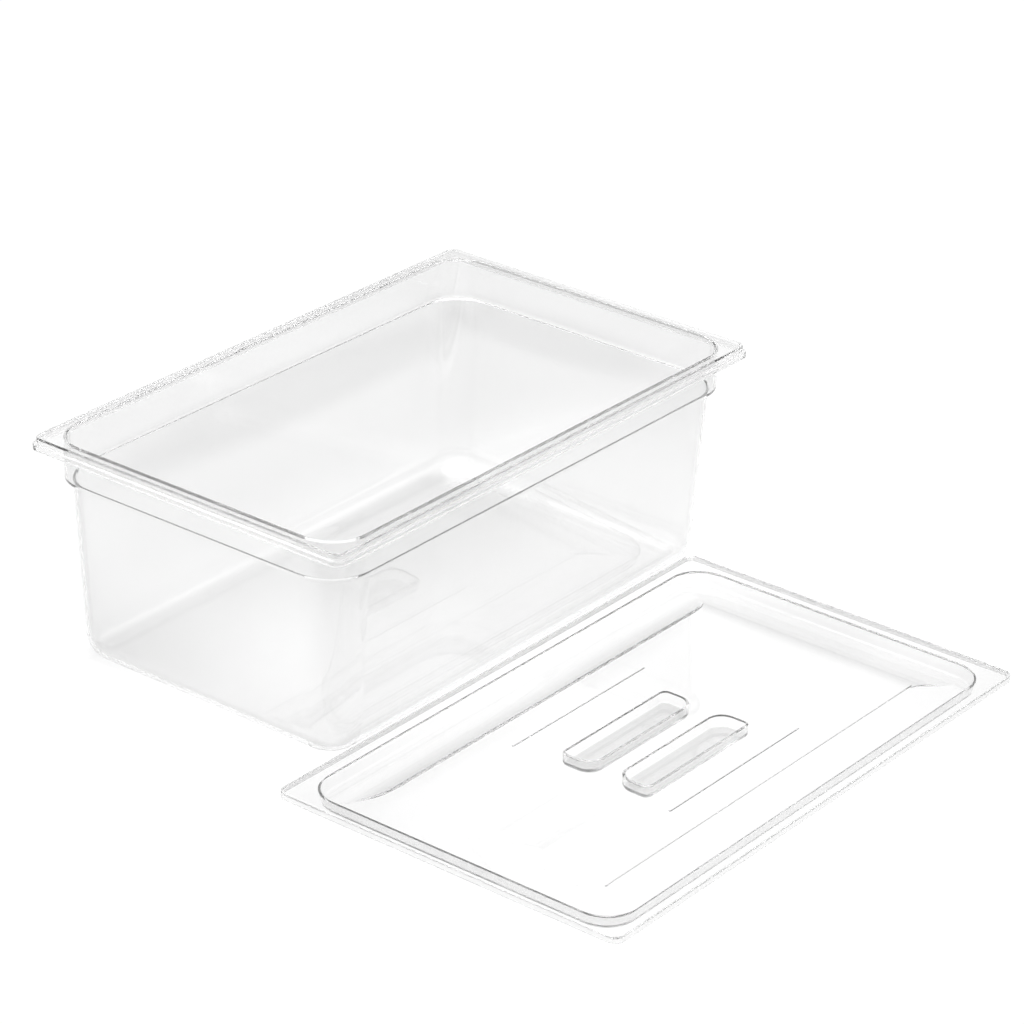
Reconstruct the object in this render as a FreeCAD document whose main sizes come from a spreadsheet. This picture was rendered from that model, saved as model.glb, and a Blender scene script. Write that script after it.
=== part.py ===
"""Full-size clear food pan with a loose lid: two injection mouldings in polycarbonate.

Frame: millimetres, origin at the middle of the pan's base face, X along the long side,
Y along the short side, +Z up. The lid lies right side up beside the pan, towards -Y.
"""
import FreeCAD, Part
import math
import os
import Sketcher

SHEET = "Sizes"

SIZES = {
    # Pan, outside
    "PanLength": 530.0,
    "PanWidth": 325.0,
    "PanHeight": 200.0,
    "WallThick": 3.0,
    "FloorThick": 3.2,
    # Pan rim: a flat flange, a short apron and a foot that flares out below it
    "RimInset": 3.0,
    "RimThick": 3.0,
    "RimCorner": 8.0,
    "RimRound": 1.2,
    "ApronDrop": 5.5,
    "ApronThick": 2.6,
    "FootDrop": 10.0,
    "FootThick": 4.2,
    "FootRound": 1.0,
    # Stacking band under the rim, and the shoulder it ends in
    "BandInset": 10.0,
    "BandCorner": 35.0,
    "BandDrop": 37.5,
    "LedgeThick": 2.6,
    "ShoulderRound": 3.2,
    "LedgeRound": 2.4,
    "OpeningRound": 1.6,
    # Tapered walls below the shoulder
    "WallDraft": 3.15,
    "BaseInset": 22.5,
    "BaseCorner": 30.0,
    "BaseRound": 26.0,
    # Lid, seen in its own frame with the flange's top face at zero
    "LidLength": 530.0,
    "LidWidth": 325.0,
    "LidThick": 2.4,
    "LidCorner": 9.0,
    "LidLipDrop": 5.6,
    "LidLipThick": 2.2,
    "LidEdgeRound": 0.9,
    # Tray that drops into the pan's opening
    "PlugInset": 13.5,
    "PlugCorner": 30.0,
    "TrayDepth": 11.0,
    "TrayDraft": 12.0,
    "TrayEdgeRound": 1.4,
    "TrayFloorRound": 2.0,
    # Raised middle panel of the tray: creased along its sides, easing down at its ends
    "PanelLength": 386.0,
    "PanelWidth": 211.0,
    "PanelRise": 4.5,
    "PanelSideRun": 24.0,
    "PanelEndRun": 46.0,
    # Stiffening ribs on the panel: a fine long one by each crease, a heavier short one inside it
    "LongRibRadius": 0.9,
    "LongRibRise": 0.35,
    "LongRibLength": 404.0,
    "LongRibOffset": 104.6,
    "ShortRibRadius": 1.4,
    "ShortRibRise": 0.6,
    "ShortRibLength": 169.0,
    "ShortRibOffset": 76.0,
    # Pinch grip: two finger pockets with a bar left between them
    "PocketLength": 132.0,
    "PocketWidth": 28.0,
    "PocketDepth": 10.0,
    "PocketInnerCorner": 13.0,
    "PocketOuterCorner": 5.0,
    "PocketFloorRound": 2.0,
    "PocketEdgeRound": 0.8,
    "PocketFlare": 1.5,
    "GripWidth": 26.0,
    # Where the lid lies
    "LidX": -54.0,
    "LidY": -310.0,
}

# Sizes that follow from the ones above
DERIVED = {
    "WallTop": "PanHeight - BandDrop",
    "LedgeTop": "PanHeight - BandDrop + LedgeThick",
    "ApronLevel": "PanHeight - ApronDrop",
    "HollowInset": "BaseInset + WallThick",
    "HollowCorner": "BaseCorner - WallThick",
    "OpeningInset": "BandInset + WallThick",
    "OpeningCorner": "BandCorner - WallThick",
    "TrayInset": "PlugInset + LidThick",
    "TrayCorner": "PlugCorner - LidThick",
    "TrayFloor": "0 - TrayDepth",
    "TrayUnder": "0 - TrayDepth - LidThick",
    "PanelEnd": "PanelLength / 2",
    "PanelSide": "PanelWidth / 2",
    "PanelTop": "PanelRise - TrayDepth",
    "ReliefEnd": "PanelLength / 2 - LidThick",
    "ReliefSide": "PanelWidth / 2 - LidThick",
    "PocketFloor": "PanelRise - TrayDepth - PocketDepth",
    "PocketUnder": "PanelRise - TrayDepth - PocketDepth - LidThick",
    "LidRest": "TrayDepth - PanelRise + PocketDepth + LidThick",
}

PAN = ("PanLength", "PanWidth")
LID = ("LidLength", "LidWidth")
NEAR = 0.05
FLARE = 6.0

doc = FreeCAD.newDocument("FoodPan")


def fill_sheet():
    """Put every driving size in the spreadsheet, each under its own alias."""
    sheet = doc.addObject("Spreadsheet::Sheet", SHEET)
    for row, (alias, value) in enumerate(SIZES.items(), start=1):
        sheet.set(f"A{row}", alias)
        sheet.set(f"B{row}", str(value))
        sheet.setAlias(f"B{row}", alias)
    for row, (alias, formula) in enumerate(DERIVED.items(), start=len(SIZES) + 1):
        sheet.set(f"A{row}", alias)
        sheet.set(f"B{row}", f"={formula}")
        sheet.setAlias(f"B{row}", alias)
    doc.recompute()
    return sheet


def bound(formula):
    """A formula over the sheet's aliases, written the way an expression wants it."""
    names = sorted(list(SIZES) + list(DERIVED), key=len, reverse=True)
    words = formula.split(" ")
    return " ".join(f"{SHEET}.{word}" if word in names else word for word in words)


def origin_plane(body, role):
    """One of the body's own origin planes, found by its role."""
    return next(item for item in body.Origin.OriginFeatures if item.Role == role)


def level_sketch(body, name, level):
    """An empty sketch parallel to the body's XY plane at the height given by a formula."""
    sketch = body.newObject("Sketcher::SketchObject", name)
    sketch.AttachmentSupport = [(origin_plane(body, "XY_Plane"), "")]
    sketch.MapMode = "FlatFace"
    sketch.setExpression("AttachmentOffset.Base.z", bound(level))
    return sketch


def name_size(sketch, index, label, formula):
    """Name a size constraint and bind it to the sheet."""
    sketch.renameConstraint(index, label)
    sketch.setExpression(f"Constraints.{label}", bound(formula))


def add_round_rectangle(sketch, tag, half_length, half_width, corner):
    """A rectangle with round corners about the sketch's origin; its sizes are formulas."""
    vector = FreeCAD.Vector
    normal = vector(0, 0, 1)
    reach, width, radius = 200.0, 120.0, 10.0
    in_x, in_y = reach - radius, width - radius
    line, arc = Part.LineSegment, Part.ArcOfCircle
    quarter = [index * math.pi / 2 for index in range(5)]
    centres = [(in_x, in_y), (-in_x, in_y), (-in_x, -in_y), (in_x, -in_y)]
    first = sketch.GeometryCount
    for index, (x, y) in enumerate(centres):
        circle = Part.Circle(vector(x, y, 0), normal, radius)
        sketch.addGeometry(arc(circle, quarter[index], quarter[index + 1]), False)
    sketch.addGeometry(line(vector(in_x, width, 0), vector(-in_x, width, 0)), False)
    sketch.addGeometry(line(vector(-reach, in_y, 0), vector(-reach, -in_y, 0)), False)
    sketch.addGeometry(line(vector(-in_x, -width, 0), vector(in_x, -width, 0)), False)
    sketch.addGeometry(line(vector(reach, -in_y, 0), vector(reach, in_y, 0)), False)
    rule = Sketcher.Constraint
    for index in range(4):
        this_arc, this_line = first + index, first + 4 + index
        next_arc = first + (index + 1) % 4
        sketch.addConstraint(rule("Tangent", this_arc, 2, this_line, 1))
        sketch.addConstraint(rule("Tangent", this_line, 2, next_arc, 1))
    for index, kind in enumerate(("Horizontal", "Vertical", "Horizontal", "Vertical")):
        sketch.addConstraint(rule(kind, first + 4 + index))
    for index in (1, 2, 3):
        sketch.addConstraint(rule("Equal", first, first + index))
    sketch.addConstraint(rule("Symmetric", first, 3, first + 2, 3, -1, 1))
    size = sketch.addConstraint(rule("Radius", first, radius))
    name_size(sketch, size, f"{tag}Corner", corner)
    size = sketch.addConstraint(rule("DistanceX", -1, 1, first, 3, in_x))
    name_size(sketch, size, f"{tag}Reach", f"{half_length} - ( {corner} )")
    size = sketch.addConstraint(rule("DistanceY", -1, 1, first, 3, in_y))
    name_size(sketch, size, f"{tag}Width", f"{half_width} - ( {corner} )")


def inset_outline(body, name, level, length, width, *rings):
    """A sketch of one or more round rectangles, each (inset, corner) inside length by width."""
    sketch = level_sketch(body, name, level)
    for index, (inset, corner) in enumerate(rings):
        half_length = f"{length} / 2 - ( {inset} )"
        half_width = f"{width} / 2 - ( {inset} )"
        add_round_rectangle(sketch, f"Ring{index}", half_length, half_width, corner)
    return sketch


def pad(body, name, sketch, length):
    """Push a sketch up by the length formula."""
    feature = body.newObject("PartDesign::Pad", name)
    feature.Profile = sketch
    feature.setExpression("Length", bound(length))
    return feature


def combine(kind, name, *pieces):
    """A boolean object of the document over the pieces; kind is Cut, Common or MultiFuse."""
    result = doc.addObject(f"Part::{kind}", name)
    if kind == "MultiFuse":
        result.Shapes = list(pieces)
    else:
        result.Base, result.Tool = pieces
    return result


def round_edges(body, name, radius, test):
    """Fillet the edges of the body's tip whose every sampled point passes the test."""
    doc.recompute()
    base = body.Tip
    chosen = [
        f"Edge{index}"
        for index, edge in enumerate(base.Shape.Edges, start=1)
        if all(test(point) for point in edge.discretize(5))
    ]
    if not chosen:
        raise RuntimeError(f"{name}: no edges found")
    feature = body.newObject("PartDesign::Fillet", name)
    feature.Base = (base, chosen)
    feature.setExpression("Radius", bound(radius))
    doc.recompute()
    return feature


def taper_walls(body, name, angle, outward):
    """Draft every upright wall of the body's tip about the body's XY plane."""
    doc.recompute()
    base = body.Tip
    upright = []
    for index, face in enumerate(base.Shape.Faces, start=1):
        u_low, u_high, v_low, v_high = face.ParameterRange
        if abs(face.normalAt((u_low + u_high) / 2, (v_low + v_high) / 2).z) < NEAR:
            upright.append(f"Face{index}")
    feature = body.newObject("PartDesign::Draft", name)
    feature.Base = (base, upright)
    feature.NeutralPlane = (origin_plane(body, "XY_Plane"), [""])
    feature.Reversed = outward
    feature.setExpression("Angle", bound(angle))
    doc.recompute()
    return feature


def loop_test(half_length, half_width, corner, level):
    """A test for points on one round rectangle at one height."""

    def test(point):
        past_x = abs(point.x) - (half_length - corner)
        past_y = abs(point.y) - (half_width - corner)
        outside = math.hypot(max(past_x, 0.0), max(past_y, 0.0))
        inside = min(max(past_x, past_y), 0.0)
        return abs(point.z - level) < NEAR and abs(outside + inside - corner) < NEAR

    return test


def rim_test(outline, inset, corner, level):
    """The loop test for an outline (length alias, width alias) at an inset, all in numbers."""
    length, width = (sizes.get(alias) for alias in outline)
    return loop_test(length / 2 - inset, width / 2 - inset, corner, level)


sizes = fill_sheet()


def make_pan_blank():
    """The pan before it is hollowed: tapered walls, stacking band and hooked rim."""
    body = doc.addObject("PartDesign::Body", "PanBlank")
    get = sizes.get

    base = inset_outline(body, "BaseOutline", "0", *PAN, ("BaseInset", "BaseCorner"))
    pad(body, "Walls", base, "WallTop")
    taper_walls(body, "WallTaper", "WallDraft", True)
    round_edges(body, "BaseRounding", "BaseRound", lambda point: abs(point.z) < NEAR)

    band = inset_outline(body, "BandOutline", "WallTop", *PAN, ("BandInset", "BandCorner"))
    pad(body, "Band", band, "BandDrop")
    shoulder = rim_test(PAN, get("BandInset"), get("BandCorner"), get("WallTop"))
    round_edges(body, "ShoulderRounding", "ShoulderRound", shoulder)

    flange = inset_outline(
        body, "FlangeOutline", "PanHeight - RimThick", *PAN, ("RimInset", "RimCorner")
    )
    pad(body, "Flange", flange, "RimThick")
    apron = inset_outline(
        body,
        "ApronOutline",
        "ApronLevel",
        *PAN,
        ("RimInset", "RimCorner"),
        ("RimInset + ApronThick", "RimCorner - ApronThick"),
    )
    pad(body, "Apron", apron, "ApronDrop - RimThick / 2")
    foot = inset_outline(
        body,
        "FootOutline",
        "PanHeight - FootDrop",
        *PAN,
        ("0", "RimCorner + RimInset"),
        ("FootThick", "RimCorner + RimInset - FootThick"),
    )
    pad(body, "Foot", foot, "FootDrop - ApronDrop")
    rim_edge = rim_test(PAN, get("RimInset"), get("RimCorner"), get("PanHeight"))
    round_edges(body, "RimRounding", "RimRound", rim_edge)
    foot_edge = rim_test(PAN, 0.0, get("RimCorner") + get("RimInset"), get("ApronLevel"))
    round_edges(body, "FootRounding", "FootRound", foot_edge)
    return body


def make_pan_hollow():
    """The space inside the pan, with the flare that rounds the opening's edge."""
    body = doc.addObject("PartDesign::Body", "PanHollow")
    get = sizes.get

    floor = inset_outline(body, "FloorOutline", "FloorThick", *PAN, ("HollowInset", "HollowCorner"))
    pad(body, "Well", floor, "LedgeTop - FloorThick")
    taper_walls(body, "WellTaper", "WallDraft", True)
    round_edges(
        body,
        "FloorRounding",
        "BaseRound - WallThick",
        lambda point: abs(point.z - get("FloorThick")) < NEAR,
    )

    opening = inset_outline(body, "OpeningOutline", "LedgeTop", *PAN, ("OpeningInset", "OpeningCorner"))
    pad(body, "Mouth", opening, "PanHeight - LedgeTop")
    spread = get("LedgeTop") * math.tan(math.radians(get("WallDraft")))
    ledge = rim_test(
        PAN, get("HollowInset") - spread, get("HollowCorner") + spread, get("LedgeTop")
    )
    round_edges(body, "LedgeRounding", "LedgeRound", ledge)

    above = inset_outline(
        body,
        "AboveOutline",
        "PanHeight",
        *PAN,
        (f"OpeningInset - {FLARE}", f"OpeningCorner + {FLARE}"),
    )
    pad(body, "Above", above, "OpeningRound")
    mouth = rim_test(PAN, get("OpeningInset"), get("OpeningCorner"), get("PanHeight"))
    round_edges(body, "MouthRounding", "OpeningRound", mouth)
    return body


def make_pan():
    """The finished pan."""
    pan = combine("Cut", "Pan", make_pan_blank(), make_pan_hollow())
    pan.Label = "pan"
    return pan


def ridge_outline(body, name, role, crest, run, reach, foot, eased):
    """Half the outline of a ridge on a slab, standing on one of the body's upright planes.

    A concave arc sweeps up from the slab. It meets the crest at a crease, or, when eased,
    it turns into an equal convex arc that meets the crest smoothly.
    """
    sketch = body.newObject("Sketcher::SketchObject", name)
    sketch.AttachmentSupport = [(origin_plane(body, role), "")]
    sketch.MapMode = "FlatFace"
    sketch.setExpression("AttachmentOffset.Base.y", bound(foot))
    vector = FreeCAD.Vector
    top, width, slope, edge, thick = 5.0, 100.0, 40.0, 200.0, 2.0
    corners = [(width + slope, 0), (edge, 0), (edge, -thick), (0, -thick), (0, top), (width, top)]
    for start, end in zip(corners, corners[1:]):
        sketch.addGeometry(Part.LineSegment(vector(*start, 0), vector(*end, 0)), False)
    climb = top / 2 if eased else top
    stretch = slope / 2 if eased else slope
    radius = (stretch**2 + climb**2) / (2 * climb)
    turn = math.asin(stretch / radius)
    down, up = 1.5 * math.pi, 0.5 * math.pi
    rule = Sketcher.Constraint
    toe = Part.Circle(vector(width + slope, radius, 0), vector(0, 0, 1), radius)
    sweep = sketch.addGeometry(Part.ArcOfCircle(toe, down - turn, down), False)
    sketch.addConstraint(rule("Tangent", sweep, 2, 0, 1))
    if eased:
        brow = Part.Circle(vector(width, top - radius, 0), vector(0, 0, 1), radius)
        ease = sketch.addGeometry(Part.ArcOfCircle(brow, up - turn, up), False)
        sketch.addConstraint(rule("Tangent", ease, 1, sweep, 1))
        sketch.addConstraint(rule("Tangent", ease, 2, 4, 2))
        sketch.addConstraint(rule("Equal", sweep, ease))
    else:
        sketch.addConstraint(rule("Coincident", sweep, 1, 4, 2))
    for index in range(4):
        sketch.addConstraint(rule("Coincident", index, 2, index + 1, 1))
    for index, kind in enumerate(("Horizontal", "Vertical", "Horizontal", "Vertical", "Horizontal")):
        sketch.addConstraint(rule(kind, index))
    sketch.addConstraint(rule("PointOnObject", 0, 1, -1))
    sketch.addConstraint(rule("PointOnObject", 3, 1, -2))
    sized = [
        ("Crest", rule("DistanceX", -1, 1, 4, 2, width), crest),
        ("Toe", rule("DistanceX", -1, 1, 0, 1, width + slope), f"{crest} + {run}"),
        ("Reach", rule("DistanceX", -1, 1, 1, 1, edge), reach),
        ("Rise", rule("DistanceY", -1, 1, 4, 1, top), "PanelRise"),
        ("Slab", rule("DistanceY", 2, 2, -1, 1, thick), "LidThick"),
    ]
    for label, constraint, formula in sized:
        name_size(sketch, sketch.addConstraint(constraint), label, formula)
    return sketch


def make_ridge(name, outline_role, mirror_role, outline, length):
    """A whole ridge: half its outline pushed out both ways, then mirrored."""
    body = doc.addObject("PartDesign::Body", name)
    sketch = ridge_outline(body, f"{name}Outline", outline_role, *outline)
    half = pad(body, f"{name}Half", sketch, length)
    half.SideType = "Symmetric"
    mirror_tip(body, f"{name}Whole", mirror_role)
    return body


def make_panel(name, end, side, foot):
    """The raised panel as a block: ends that ease down, and sides that sweep up to a crease."""
    ends = (end, "PanelEndRun", "LidLength / 2", foot, True)
    sides = (side, "PanelSideRun", "LidWidth / 2", foot, False)
    return combine(
        "Common",
        name,
        make_ridge(f"{name}Ends", "XZ_Plane", "YZ_Plane", ends, "LidWidth"),
        make_ridge(f"{name}Sides", "YZ_Plane", "XZ_Plane", sides, "LidLength"),
    )


def pocket_outline(body, name, level, grow):
    """One finger pocket on the +Y side: soft corners by the grip, tight ones beyond it."""
    sketch = level_sketch(body, name, level)
    vector = FreeCAD.Vector
    reach, low, high, radius = 66.0, 13.0, 41.0, 5.0
    in_x = reach - radius
    centres = [
        (in_x, high - radius),
        (-in_x, high - radius),
        (-in_x, low + radius),
        (in_x, low + radius),
    ]
    for index, (x, y) in enumerate(centres):
        circle = Part.Circle(vector(x, y, 0), vector(0, 0, 1), radius)
        start = index * math.pi / 2
        sketch.addGeometry(Part.ArcOfCircle(circle, start, start + math.pi / 2), False)
    sides = [
        ((in_x, high), (-in_x, high)),
        ((-reach, high - radius), (-reach, low + radius)),
        ((-in_x, low), (in_x, low)),
        ((reach, low + radius), (reach, high - radius)),
    ]
    for start, end in sides:
        sketch.addGeometry(Part.LineSegment(vector(*start, 0), vector(*end, 0)), False)
    rule = Sketcher.Constraint
    for index in range(4):
        sketch.addConstraint(rule("Tangent", index, 2, 4 + index, 1))
        sketch.addConstraint(rule("Tangent", 4 + index, 2, (index + 1) % 4, 1))
    for index, kind in enumerate(("Horizontal", "Vertical", "Horizontal", "Vertical")):
        sketch.addConstraint(rule(kind, 4 + index))
    sketch.addConstraint(rule("Equal", 0, 1))
    sketch.addConstraint(rule("Equal", 2, 3))
    outer, inner = f"( PocketOuterCorner + {grow} )", f"( PocketInnerCorner + {grow} )"
    half = f"PocketLength / 2 + {grow}"
    near_side, far_side = f"GripWidth / 2 - {grow}", f"GripWidth / 2 + PocketWidth + {grow}"
    sized = [
        ("OuterCorner", rule("Radius", 0, radius), outer),
        ("InnerCorner", rule("Radius", 2, radius), inner),
        ("ReachRight", rule("DistanceX", -1, 1, 0, 3, in_x), f"{half} - {outer}"),
        ("ReachLeft", rule("DistanceX", 1, 3, -1, 1, in_x), f"{half} - {outer}"),
        ("FarSide", rule("DistanceY", -1, 1, 0, 3, high - radius), f"{far_side} - {outer}"),
        ("NearSide", rule("DistanceY", -1, 1, 3, 3, low + radius), f"{near_side} + {inner}"),
    ]
    for label, constraint, formula in sized:
        name_size(sketch, sketch.addConstraint(constraint), label, formula)
    return sketch


def mirror_tip(body, name, role="XZ_Plane"):
    """Repeat the tip on the other side of one of the body's origin planes."""
    doc.recompute()
    feature = body.newObject("PartDesign::Mirrored", name)
    feature.Originals = [body.Tip]
    feature.MirrorPlane = (origin_plane(body, role), [""])
    body.Tip = feature
    doc.recompute()
    return feature


def make_plug():
    """The block that the tray is made of, up to the flange's top face."""
    body = doc.addObject("PartDesign::Body", "Plug")
    plug = inset_outline(body, "PlugOutline", "TrayUnder", *LID, ("PlugInset", "PlugCorner"))
    pad(body, "PlugBlock", plug, "TrayDepth + LidThick")
    taper_walls(body, "PlugTaper", "TrayDraft", True)
    under = sizes.get("TrayUnder")
    round_edges(
        body,
        "PlugRounding",
        "TrayFloorRound + LidThick",
        lambda point: abs(point.z - under) < NEAR,
    )
    return body


def make_cups():
    """The outside of both finger pockets, hanging below the panel."""
    body = doc.addObject("PartDesign::Body", "PocketCups")
    cup = pocket_outline(body, "CupOutline", "PocketUnder", "LidThick")
    pad(body, "Cup", cup, "PocketDepth + LidThick / 2")
    mirror_tip(body, "Cups")
    under = sizes.get("PocketUnder")
    round_edges(
        body,
        "CupRounding",
        "PocketFloorRound + LidThick / 2",
        lambda point: abs(point.z - under) < NEAR,
    )
    return body


def make_flange():
    """The lid's flat flange, still without its opening, and its turned-down lip."""
    body = doc.addObject("PartDesign::Body", "LidFlange")
    plate = inset_outline(body, "PlateOutline", "0 - LidThick", *LID, ("0", "LidCorner"))
    pad(body, "Plate", plate, "LidThick")
    lip = inset_outline(
        body,
        "LipOutline",
        "0 - LidLipDrop",
        *LID,
        ("0", "LidCorner"),
        ("LidLipThick", "LidCorner - LidLipThick"),
    )
    pad(body, "Lip", lip, "LidLipDrop - LidThick / 2")
    edge = rim_test(LID, 0.0, sizes.get("LidCorner"), 0.0)
    round_edges(body, "EdgeRounding", "LidEdgeRound", edge)
    return body


def make_tray():
    """The space in the tray, with the flare that rounds the edge it sinks from."""
    body = doc.addObject("PartDesign::Body", "Tray")
    get = sizes.get
    tray = inset_outline(body, "TrayOutline", "TrayFloor", *LID, ("TrayInset", "TrayCorner"))
    pad(body, "TraySpace", tray, "TrayDepth")
    taper_walls(body, "TrayTaper", "TrayDraft", True)
    round_edges(
        body,
        "TrayRounding",
        "TrayFloorRound",
        lambda point: abs(point.z - get("TrayFloor")) < NEAR,
    )
    above = inset_outline(
        body,
        "AboveOutline",
        "0",
        *LID,
        (f"TrayInset - {FLARE}", f"TrayCorner + {FLARE}"),
    )
    pad(body, "Above", above, "TrayEdgeRound")
    mouth = rim_test(LID, get("TrayInset"), get("TrayCorner"), 0.0)
    round_edges(body, "MouthRounding", "TrayEdgeRound", mouth)
    return body


def make_wells():
    """The space in both finger pockets, with the flare that rounds their edges."""
    body = doc.addObject("PartDesign::Body", "FingerWells")
    get = sizes.get
    well = pocket_outline(body, "WellOutline", "PocketFloor", "0")
    pad(body, "Well", well, "PocketDepth")
    mirror_tip(body, "Wells")
    round_edges(
        body,
        "WellRounding",
        "PocketFloorRound",
        lambda point: abs(point.z - get("PocketFloor")) < NEAR,
    )
    flare = pocket_outline(body, "FlareOutline", "PanelTop", "PocketFlare")
    pad(body, "Flare", flare, "LidThick")
    mirror_tip(body, "Flares")
    low = get("GripWidth") / 2
    high = low + get("PocketWidth")

    def on_mouth(point):
        inside = abs(point.x) < get("PocketLength") / 2 + NEAR
        between = low - NEAR < abs(point.y) < high + NEAR
        return inside and between and abs(point.z - get("PanelTop")) < NEAR

    round_edges(body, "WellMouthRounding", "PocketEdgeRound", on_mouth)
    return body


def make_rib(name, kind, side):
    """One stiffening rib along X on the panel: a part-sunk rod with round ends."""
    radius, half = bound(f"{kind}RibRadius"), f"{kind}RibLength / 2"
    rod = doc.addObject("Part::Cylinder", name)
    rod.Placement.Rotation = FreeCAD.Rotation(FreeCAD.Vector(0, 1, 0), 90)
    rod.setExpression("Height", bound(f"{kind}RibLength"))
    ends = [doc.addObject("Part::Sphere", f"{name}End{index}") for index in range(2)]
    for item, x in zip([rod, *ends], (f"0 - {half}", f"0 - {half}", half)):
        item.setExpression("Radius", radius)
        item.setExpression("Placement.Base.x", bound(x))
        item.setExpression("Placement.Base.y", bound(f"{side} * {kind}RibOffset"))
        item.setExpression(
            "Placement.Base.z", bound(f"PanelTop + {kind}RibRise - {kind}RibRadius")
        )
    return [rod, *ends]


def make_lid():
    """The finished lid, lying right side up beside the pan."""
    relief = make_panel("Relief", "ReliefEnd", "ReliefSide", "TrayUnder")
    block = combine("Cut", "PlugRelieved", make_plug(), relief)
    blank = combine("MultiFuse", "LidBlank", block, make_cups(), make_flange())
    panel = make_panel("Panel", "PanelEnd", "PanelSide", "TrayFloor")
    space = combine("Cut", "TraySpaceLeft", make_tray(), panel)
    hollow = combine("MultiFuse", "LidHollow", space, make_wells())
    pieces = [combine("Cut", "LidShell", blank, hollow)]
    for side, word in ((-1, "Near"), (1, "Far")):
        pieces += make_rib(f"{word}LongRib", "Long", side)
        pieces += make_rib(f"{word}ShortRib", "Short", side)
    lid = combine("MultiFuse", "Lid", *pieces)
    lid.Label = "lid"
    lid.setExpression("Placement.Base.x", bound("LidX"))
    lid.setExpression("Placement.Base.y", bound("LidY"))
    lid.setExpression("Placement.Base.z", bound("LidRest"))
    return lid


def write_parts(nodes):
    """Stop if anything failed to build, then write each node's STEP file."""
    doc.recompute()
    for item in doc.Objects:
        if "Invalid" in item.State or "Error" in item.State:
            raise RuntimeError(f"{item.Name}: {item.State}")
    for node in nodes:
        shape = node.Shape
        if shape.isNull() or not shape.isValid() or len(shape.Solids) != 1:
            raise RuntimeError(f"{node.Label}: unusable shape")
    os.makedirs("parts", exist_ok=True)
    for node in nodes:
        node.Shape.exportStep(f"parts/{node.Label}.step")
        print(f"{node.Label}: {node.Shape.Volume / 1000:.1f} cubic centimetres")


write_parts([make_pan(), make_lid()])
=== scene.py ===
"""Looks for a clear polycarbonate food pan and its lid, side by side on a light table."""
import math
import bpy
from mathutils import Matrix, Vector


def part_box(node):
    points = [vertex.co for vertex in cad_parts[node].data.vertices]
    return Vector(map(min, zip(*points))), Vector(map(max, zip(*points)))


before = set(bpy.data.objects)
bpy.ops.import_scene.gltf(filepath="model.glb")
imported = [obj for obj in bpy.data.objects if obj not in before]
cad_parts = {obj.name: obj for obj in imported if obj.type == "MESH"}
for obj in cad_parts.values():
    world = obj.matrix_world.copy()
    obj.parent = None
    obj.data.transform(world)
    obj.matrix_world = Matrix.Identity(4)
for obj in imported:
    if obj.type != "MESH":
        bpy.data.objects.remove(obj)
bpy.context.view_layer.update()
scene = bpy.context.scene

# Camera, in degrees, metres and millimetres of lens
CAMERA_AZIMUTH = 37.90
CAMERA_ELEVATION = 26.14
CAMERA_ROLL = 1.50
CAMERA_DISTANCE = 3.273
CAMERA_AIM = Vector((0.0236, -0.1006, 0.1121))
CAMERA_LENS = 141.3
CAMERA_CLIP = (0.05, 100.0)

# Light table: its half size, its gap under the parts, and the little light it scatters
TABLE_REACH = 30.0
TABLE_GAP = 0.0008
TABLE_SCATTER = 0.02

# The pan's base on the table: how far its outline lies inside the pan's box, how wide the band
# is where it curves up, and the glow that the table keeps along that band
BASE_INSET = 0.0225
ROUNDING_REACH = 0.022
CONTACT_SHADE = 0.93

# The dim band inside the base's far edge: how much glow it takes away, where it rises and falls
# across that edge, and how far before the base's ends it starts to fade
FAR_EDGE_SHADE = 0.22
FAR_EDGE_RISE = (-0.19, -0.01)
FAR_EDGE_FALL = (-0.002, 0.012)
FAR_EDGE_FADE = 0.04

# Pools of light and shade on the table: centre and reach in metres, and the glow they reach at
# POOL_FULL of the way in from their outline
POOL_FULL = 0.6
POOLS = (
    ((0.08, -0.02), (0.55, 0.28), 1.19),  # under the pan
    ((-0.48, 0.13), (0.25, 0.45), 1.65),  # mirrored in the pan's near end
    ((0.15, -0.27), (0.55, 0.20), 1.1),  # mirrored in the pan's near side
    ((0.27, 0.352), (0.35, 0.062), 0.89),  # behind the pan's far side
    ((0.53, 0.25), (0.060, 0.20), 0.90),  # behind the pan's far end
    ((-0.14, -0.38), (0.42, 0.28), 1.08),  # under the near part of the lid
    ((0.15, -0.24), (0.22, 0.20), 0.93),  # under the far corner of the lid
    ((-0.05, -0.19), (0.27, 0.035), 0.91),  # under the far side of the lid's tray
)

# Sky: brightness as a function of the height of the direction looked in
SKY = 1.2
SKY_STOPS = ((0.0, 0.5), (0.28, 0.5), (0.42, 1.0), (0.76, 1.05), (0.88, 2.6))

# Clear plastic, part by part. tint is its colour, bend its index of refraction, coat the weight of
# its polished skin, polish its roughness, haze its milkiness and density what it absorbs a metre.
# lip is the extra milkiness of its outermost faces, the foot shade the painted contact shade that
# darkens the faces it stands on, flow the stretch of its noise along the mould, and seed the place
# where that noise is read.
PLASTICS = {
    "pan": {
        "tint": 0.88,
        "bend": 1.22,
        "coat": 1.0,
        "polish": 0.045,
        "haze": 0.01,
        "density": 1.0,
        "lip": 0.0,
        "painted_foot_shade": 1.0,
        "flow": (1.0, 1.0, 0.4),
        "seed": 0.0,
    },
    "lid": {
        "tint": 0.89,
        "bend": 1.33,
        "coat": 0.5,
        "polish": 0.04,
        "haze": 0.015,
        "density": 1.5,
        "lip": 0.4,
        "painted_foot_shade": 0.6,
        "flow": (0.4, 1.0, 1.0),
        "seed": 11.0,
    },
}

# The same for both parts: the polished skin, and the milk that haze and dust mix in
SKIN_BEND = 1.58
SKIN_ROUGHNESS = 0.02
MILK_TONE = 0.85
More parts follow.
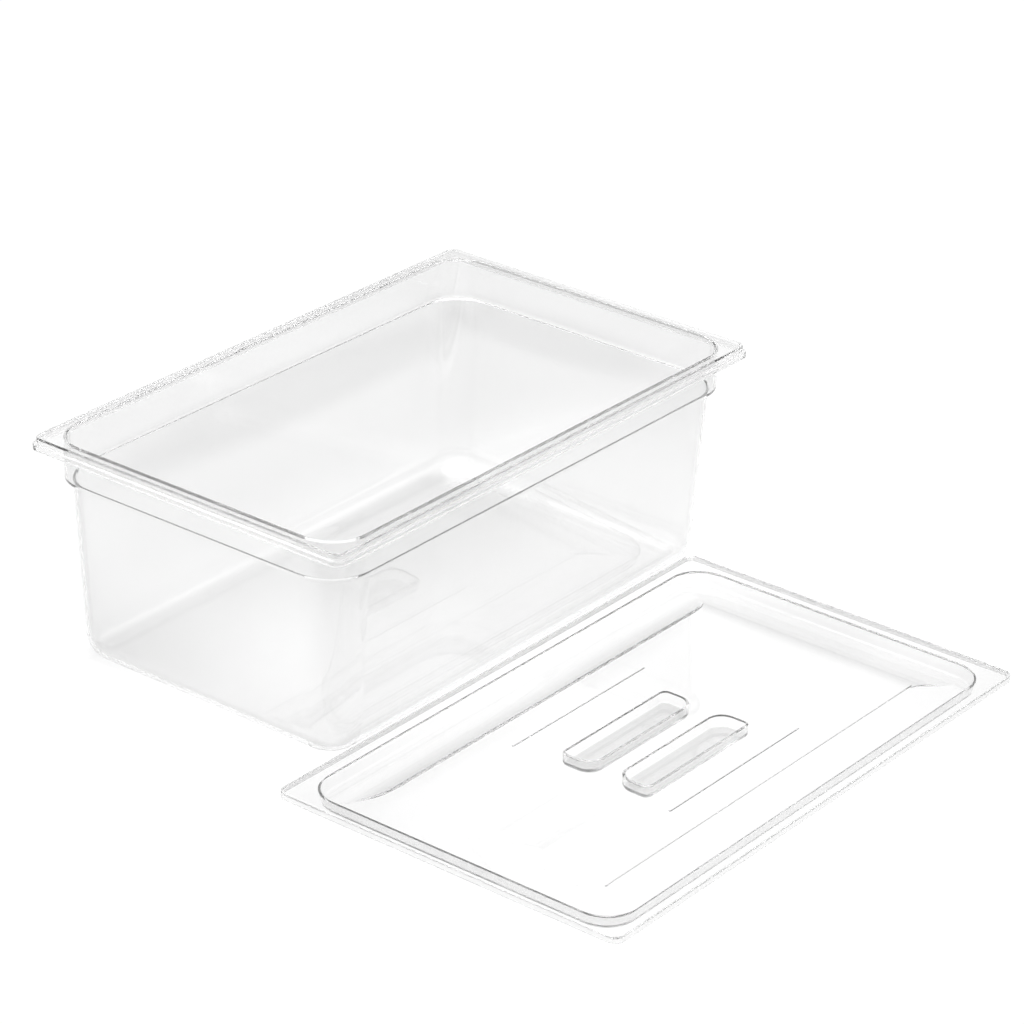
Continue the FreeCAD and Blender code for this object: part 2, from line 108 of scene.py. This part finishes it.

# Where the lip and the painted foot shade ease in, as shares of the part's box: how far out from
# its middle, and how high up in it
LIP_RANGE = (0.4970, 0.4985)
FOOT_SHADE_RANGE = (0.02, 0.06)

# Unevenness of the plastic: waves a metre, levels of detail, how strongly each one shows, and how
# far apart their noises are read
DRIFT_WAVES = 7.0
DRIFT_DETAIL = 3.0
DRIFT_RANGE = (0.3, 0.7)
TONE_DRIFT = 0.012
POLISH_DRIFT = (0.7, 1.3)
HAZE_DRIFT = (0.6, 1.4)
RIPPLE_WAVES = 22.0
RIPPLE_DETAIL = 2.0
RIPPLE_DEPTH = 0.0004
RIPPLE_STRENGTH = 0.02
RIPPLE_SHIFT = 3.0
GRAIN_WAVES = 900.0
GRAIN_DETAIL = 2.0
GRAIN_SHARE = 0.004
SPECK_WAVES = 420.0
SPECK_DETAIL = 1.0
SPECK_RANGE = (0.72, 0.80)
SPECK_HAZE = 0.12
SPECK_SHIFT = 7.0

# Bounces: light is passed on many times inside a clear wall, so its paths are long
PATH_LENGTH = 80
GLOSS_LENGTH = 24


def grey(level):
    """An opaque grey."""
    return (level, level, level, 1.0)


class Tree:
    """A node tree, with short ways to add its nodes."""

    def __init__(self, tree):
        self.nodes = tree.nodes
        self.link = tree.links.new

    def add(self, kind, **settings):
        """A new node of that kind with its settings."""
        node = self.nodes.new(f"ShaderNode{kind}")
        for name, value in settings.items():
            setattr(node, name, value)
        return node

    def math(self, operation, first, second=None):
        """The result of a Math node over one or two terms, each a socket or a number."""
        node = self.add("Math", operation=operation)
        for socket, term in zip(node.inputs, (first, second)):
            if isinstance(term, (int, float)):
                socket.default_value = term
            elif term is not None:
                self.link(term, socket)
        return node.outputs[0]

    def ease(self, value, start, end, low, high):
        """A value taken smoothly from low at start to high at end, and level outside them."""
        node = self.add("MapRange", interpolation_type="SMOOTHSTEP")
        limits = {"From Min": start, "From Max": end, "To Min": low, "To Max": high}
        for name, limit in limits.items():
            node.inputs[name].default_value = limit
        self.link(value, node.inputs["Value"])
        return node.outputs[0]

    def past_box(self, place, centre, half):
        """How far a point on the table is outside a box; it is negative inside."""
        split = self.add("SeparateXYZ")
        self.link(place, split.inputs[0])
        past = []
        for axis, middle, reach in zip("XY", centre, half):
            off_middle = self.math("ABSOLUTE", self.math("SUBTRACT", split.outputs[axis], middle))
            past.append(self.math("SUBTRACT", off_middle, reach))
        return self.math("MAXIMUM", *past)

    def pool(self, place, centre, reach, level):
        """A factor of 1 that eases to the level inside an ellipse on the table."""
        shift = self.add("Mapping", vector_type="POINT")
        shift.inputs["Scale"].default_value = (1 / reach[0], 1 / reach[1], 1.0)
        shift.inputs["Location"].default_value = (-centre[0] / reach[0], -centre[1] / reach[1], 0.0)
        self.link(place, shift.inputs["Vector"])
        fall = self.add("TexGradient", gradient_type="SPHERICAL")
        self.link(shift.outputs[0], fall.inputs[0])
        return self.ease(fall.outputs["Fac"], 0.0, POOL_FULL, 1.0, level)


def new_material(name):
    """An empty node material: the material, its tree and its output node."""
    material = bpy.data.materials.new(name)
    material.use_nodes = True
    material.node_tree.nodes.clear()
    tree = Tree(material.node_tree)
    return material, tree, tree.add("OutputMaterial")


def make_camera():
    """The camera, looking down along the azimuth from +X, turned a little about its own axis."""
    azimuth = math.radians(CAMERA_AZIMUTH)
    elevation = math.radians(CAMERA_ELEVATION)
    ahead = Vector(
        (
            math.cos(elevation) * math.cos(azimuth),
            math.cos(elevation) * math.sin(azimuth),
            -math.sin(elevation),
        )
    )
    data = bpy.data.cameras.new("camera")
    data.lens = CAMERA_LENS
    data.clip_start, data.clip_end = CAMERA_CLIP
    camera = bpy.data.objects.new("camera", data)
    scene.collection.objects.link(camera)
    upright = ahead.to_track_quat("-Z", "Y").to_matrix().to_4x4()
    roll = Matrix.Rotation(math.radians(CAMERA_ROLL), 4, "Z")
    camera.matrix_world = Matrix.Translation(CAMERA_AIM - ahead * CAMERA_DISTANCE) @ upright @ roll
    scene.camera = camera


def contact_shade(tree, place):
    """A factor that dims the table along the line where the pan's base curves up from it."""
    low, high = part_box("pan")
    centre = ((low[0] + high[0]) / 2, (low[1] + high[1]) / 2)
    half = ((high[0] - low[0]) / 2 - BASE_INSET, (high[1] - low[1]) / 2 - BASE_INSET)
    off_line = tree.math("ADD", tree.past_box(place, centre, half), ROUNDING_REACH / 2)
    return tree.ease(tree.math("ABSOLUTE", off_line), 0.0, ROUNDING_REACH / 2, CONTACT_SHADE, 1.0)


def far_edge_shade(tree, place):
    """A factor that dims the table inside the far edge of the pan's base, sharply at that edge."""
    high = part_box("pan")[1]
    edge = high[1] - BASE_INSET
    end = high[0] - BASE_INSET
    split = tree.add("SeparateXYZ")
    tree.link(place, split.inputs[0])
    rise_start, rise_end = (edge + offset for offset in FAR_EDGE_RISE)
    fall_start, fall_end = (edge + offset for offset in FAR_EDGE_FALL)
    rise = tree.ease(split.outputs["Y"], rise_start, rise_end, 0.0, FAR_EDGE_SHADE)
    fall = tree.ease(split.outputs["Y"], fall_start, fall_end, 1.0, 0.0)
    off_middle = tree.math("ABSOLUTE", split.outputs["X"])
    ends = tree.ease(off_middle, end - FAR_EDGE_FADE, end, 1.0, 0.0)
    depth = tree.math("MULTIPLY", tree.math("MULTIPLY", rise, fall), ends)
    return tree.math("SUBTRACT", 1.0, depth)


def make_table():
    """The glowing table: brighter where the pan's near walls mirror it, dimmer behind the pan."""
    mesh = bpy.data.meshes.new("light_table")
    corners = [(-1, -1), (1, -1), (1, 1), (-1, 1)]
    places = [(x * TABLE_REACH, y * TABLE_REACH, 0) for x, y in corners]
    mesh.from_pydata(places, [], [(0, 1, 2, 3)])
    table = bpy.data.objects.new("light_table", mesh)
    scene.collection.objects.link(table)
    table.location.z = -TABLE_GAP
    material, tree, output = new_material("light_table")
    place = tree.add("TexCoord").outputs["Object"]
    level = tree.math("MULTIPLY", contact_shade(tree, place), far_edge_shade(tree, place))
    for centre, reach, glow in POOLS:
        level = tree.math("MULTIPLY", level, tree.pool(place, centre, reach, glow))
    lamp = tree.add("Emission")
    tree.link(level, lamp.inputs["Strength"])
    matt = tree.add("BsdfDiffuse")
    matt.inputs["Color"].default_value = grey(TABLE_SCATTER)
    both = tree.add("AddShader")
    tree.link(lamp.outputs[0], both.inputs[0])
    tree.link(matt.outputs[0], both.inputs[1])
    tree.link(both.outputs[0], output.inputs["Surface"])
    mesh.materials.append(material)


def make_sky():
    """A soft studio sky: dim round the horizon, even above that, and brightest overhead."""
    world = bpy.data.worlds.new("studio")
    scene.world = world
    world.use_nodes = True
    tree = Tree(world.node_tree)
    split = tree.add("SeparateXYZ")
    ramp = tree.add("ValToRGB")
    tree.link(tree.add("TexCoord").outputs["Generated"], split.inputs[0])
    tree.link(split.outputs["Z"], ramp.inputs["Fac"])
    background = tree.nodes["Background"]
    tree.link(ramp.outputs["Color"], background.inputs["Color"])
    elements = ramp.color_ramp.elements
    for height, _ in SKY_STOPS[1:-1]:
        elements.new(height)
    for element, (height, level) in zip(elements, SKY_STOPS):
        element.position = height
        element.color = grey(level)
    background.inputs["Strength"].default_value = SKY


def noise(tree, place, scale, detail, stretch=(1.0, 1.0, 1.0), seed=0.0):
    """Fractal noise over the part, so many waves a metre, drawn out along the small axes."""
    shift = tree.add("Mapping")
    shift.inputs["Scale"].default_value = stretch
    shift.inputs["Location"].default_value = (seed, seed, seed)
    tree.link(place, shift.inputs["Vector"])
    texture = tree.add("TexNoise")
    texture.inputs["Scale"].default_value = scale
    texture.inputs["Detail"].default_value = detail
    tree.link(shift.outputs[0], texture.inputs["Vector"])
    return texture.outputs["Fac"]


def lip_mask(tree, split):
    """1 on the faces at the part's outermost edge, where the mould was left matt."""
    off_middle = [
        tree.math("ABSOLUTE", tree.math("SUBTRACT", split.outputs[axis], 0.5)) for axis in "XY"
    ]
    return tree.ease(tree.math("MAXIMUM", *off_middle), *LIP_RANGE, 0.0, 1.0)


def make_plastic(name, tint, bend, coat, polish, haze, density, lip, painted_foot_shade, flow, seed):
    """Clear polycarbonate: polished, faintly uneven along its flow, with specks and light haze."""
    material, tree, output = new_material(name)
    place = tree.add("TexCoord").outputs["Object"]
    split = tree.add("SeparateXYZ")
    tree.link(tree.add("TexCoord").outputs["Generated"], split.inputs[0])
    drift = noise(tree, place, DRIFT_WAVES, DRIFT_DETAIL, flow, seed)
    ripple = noise(tree, place, RIPPLE_WAVES, RIPPLE_DETAIL, flow, seed + RIPPLE_SHIFT)
    grain = noise(tree, place, GRAIN_WAVES, GRAIN_DETAIL, seed=seed)
    speck = noise(tree, place, SPECK_WAVES, SPECK_DETAIL, seed=seed + SPECK_SHIFT)

    body = tree.add("BsdfPrincipled")
    body.inputs["Transmission Weight"].default_value = 1.0
    body.inputs["IOR"].default_value = bend
    body.inputs["Coat Weight"].default_value = coat
    body.inputs["Coat IOR"].default_value = SKIN_BEND
    body.inputs["Coat Roughness"].default_value = SKIN_ROUGHNESS
    tone = tree.ease(drift, *DRIFT_RANGE, tint - TONE_DRIFT, tint + TONE_DRIFT)
    # Painted shade: the faces the part stands on are darkened, standing in for the contact shade
    # under them
    foot_shade_factor = tree.ease(split.outputs["Z"], *FOOT_SHADE_RANGE, painted_foot_shade, 1.0)
    tree.link(tree.math("MULTIPLY", tone, foot_shade_factor), body.inputs["Base Color"])
    rough = tree.ease(drift, *DRIFT_RANGE, *(share * polish for share in POLISH_DRIFT))
    tree.link(rough, body.inputs["Roughness"])

    relief = tree.add("Bump")
    relief.inputs["Strength"].default_value = RIPPLE_STRENGTH
    relief.inputs["Distance"].default_value = RIPPLE_DEPTH
    height = tree.math("ADD", ripple, tree.math("MULTIPLY", grain, GRAIN_SHARE))
    tree.link(height, relief.inputs["Height"])
    tree.link(relief.outputs[0], body.inputs["Normal"])

    milk = tree.add("BsdfDiffuse")
    milk.inputs["Color"].default_value = grey(MILK_TONE)
    veil = tree.ease(drift, *DRIFT_RANGE, *(share * haze for share in HAZE_DRIFT))
    dust = tree.ease(speck, *SPECK_RANGE, 0.0, SPECK_HAZE)
    matt_lip = tree.math("MULTIPLY", lip_mask(tree, split), lip)
    both = tree.add("MixShader")
    tree.link(tree.math("ADD", tree.math("ADD", veil, dust), matt_lip), both.inputs["Fac"])
    tree.link(body.outputs[0], both.inputs[1])
    tree.link(milk.outputs[0], both.inputs[2])
    tree.link(both.outputs[0], output.inputs["Surface"])

    inside = tree.add("VolumeAbsorption")
    inside.inputs["Color"].default_value = grey(0.0)
    inside.inputs["Density"].default_value = density
    tree.link(inside.outputs[0], output.inputs["Volume"])
    return material


make_camera()
make_table()
make_sky()
for name, finish in PLASTICS.items():
    plastic = make_plastic(f"clear_{name}", **finish)
    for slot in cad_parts[name].material_slots:
        slot.material = plastic
scene.view_settings.view_transform = "Standard"
scene.cycles.max_bounces = PATH_LENGTH
scene.cycles.transmission_bounces = PATH_LENGTH
scene.cycles.glossy_bounces = GLOSS_LENGTH
